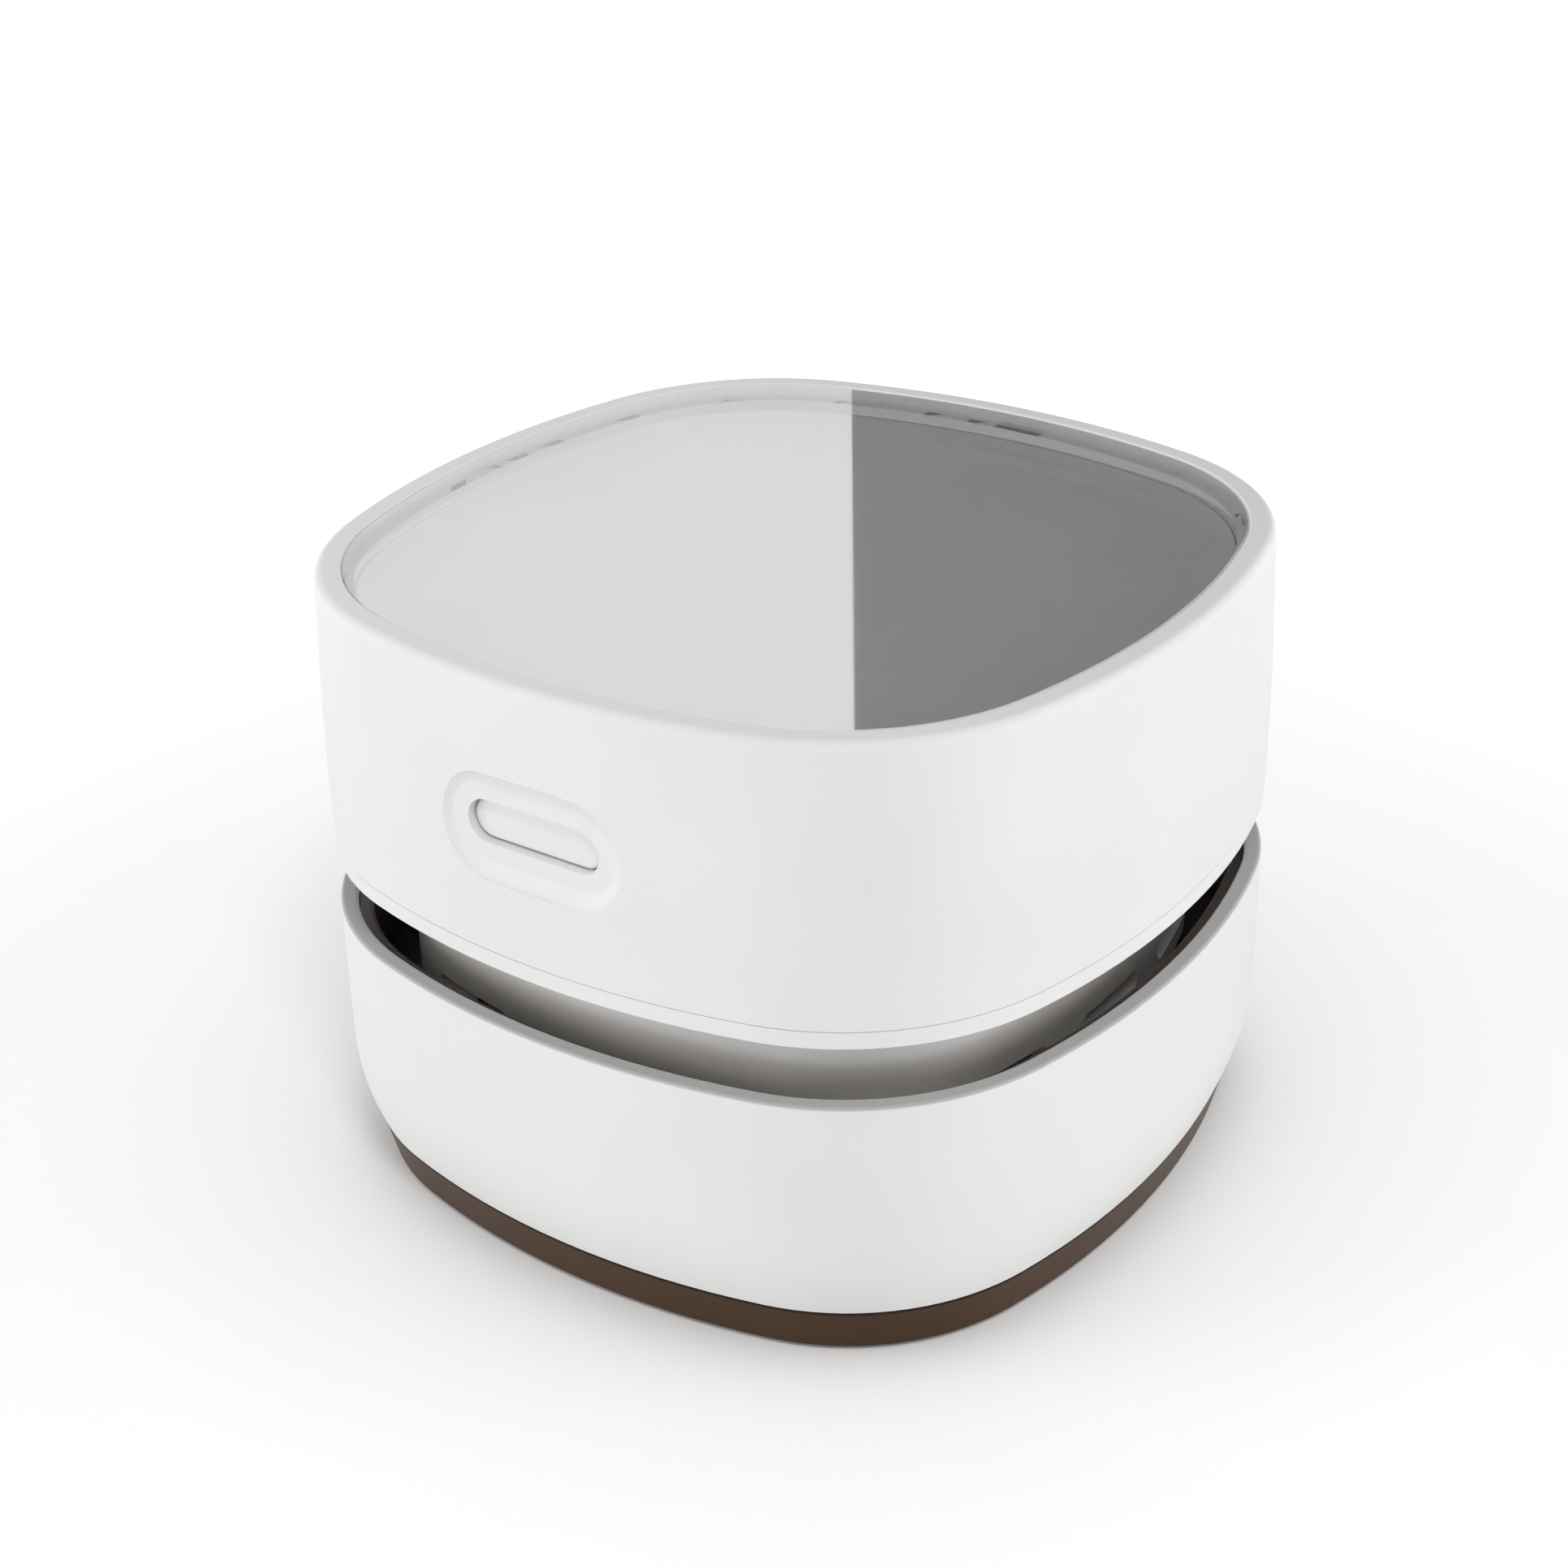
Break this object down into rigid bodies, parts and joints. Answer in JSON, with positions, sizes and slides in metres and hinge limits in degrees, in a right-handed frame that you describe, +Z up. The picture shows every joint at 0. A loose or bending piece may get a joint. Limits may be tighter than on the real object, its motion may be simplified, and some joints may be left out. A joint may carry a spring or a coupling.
{
  "type": "desktop vacuum cleaner",
  "caption": "Rounded-square desktop mini vacuum: battery power unit with recessed clear top and push-button, exhaust gap round a neck, and a lift-off dust base with brush intake.",
  "frame": {"origin": "centre of the footprint on the desk, at the underside of the glide feet", "axes": "+Z up, -Y towards the face with the push-button, +X to the right seen from that face"},
  "size_m": [0.084, 0.084, 0.0624],
  "materials": {
    "white_shell": "satin",
    "clear_cover": "gloss",
    "deck": "satin",
    "chassis": "satin",
    "housing": "satin",
    "seal": "matt",
    "motor_steel": "zinc plated",
    "magnet": "matt",
    "bell": "matt",
    "screw": "zinc plated",
    "cell": "shrink sleeve",
    "cradle": "matt",
    "board": "solder mask",
    "switch": "matt",
    "socket": "plated",
    "button": "satin",
    "impeller": "satin",
    "shaft": "ground",
    "filter_frame": "satin",
    "filter_mesh": "woven",
    "dark_cup": "satin",
    "brown_base": "satin",
    "brush": "bristle",
    "foot": "matt"
  },
  "bodies": {
    "dust_base": {"lower_shell": "white_shell", "dust_cup": "dark_cup", "cup_collar": "dark_cup", "base_plate": "brown_base", "intake_nozzle": "brown_base", "brush_ring": "brush", "base_screws": "screw", "glide_feet": "foot"},
    "power_unit": {"upper_shell": "white_shell", "clear_cover": "clear_cover", "deck_panel": "deck", "chassis_plate": "chassis", "neck_housing": "housing", "seal_ring": "seal", "motor_can": "motor_steel", "motor_magnets": "magnet", "motor_end_bell": "bell", "motor_damper_ring": "seal", "motor_screws": "screw", "case_screws": "screw", "battery_cell": "cell", "battery_cradle": "cradle", "control_board": "board", "push_switch": "switch", "charging_board": "board", "charging_socket": "socket"},
    "button": {"power_button": "button", "switch_plunger": "switch"},
    "fan": {"impeller": "impeller", "motor_shaft": "shaft", "motor_rotor": "magnet"},
    "filter": {"filter_frame": "filter_frame", "filter_mesh": "filter_mesh"}
  },
  "joints": [
    {"name": "lift_off", "type": "slide", "parent": "dust_base", "child": "power_unit", "axis": [0, 0, 1], "range_m": [0, 0.035]},
    {"name": "button_press", "type": "slide", "parent": "power_unit", "child": "button", "axis": [0, 1, 0], "range_m": [0, 0.0012], "stiffness_N_per_m": 900, "springref_m": -0.0006},
    {"name": "fan_spin", "type": "hinge", "parent": "power_unit", "child": "fan", "pos_m": [0, 0, 0.03], "axis": [0, 0, 1], "continuous": true},
    {"name": "filter_pull", "type": "slide", "parent": "power_unit", "child": "filter", "axis": [0, 0, -1], "range_m": [0, 0.004]}
  ]
}
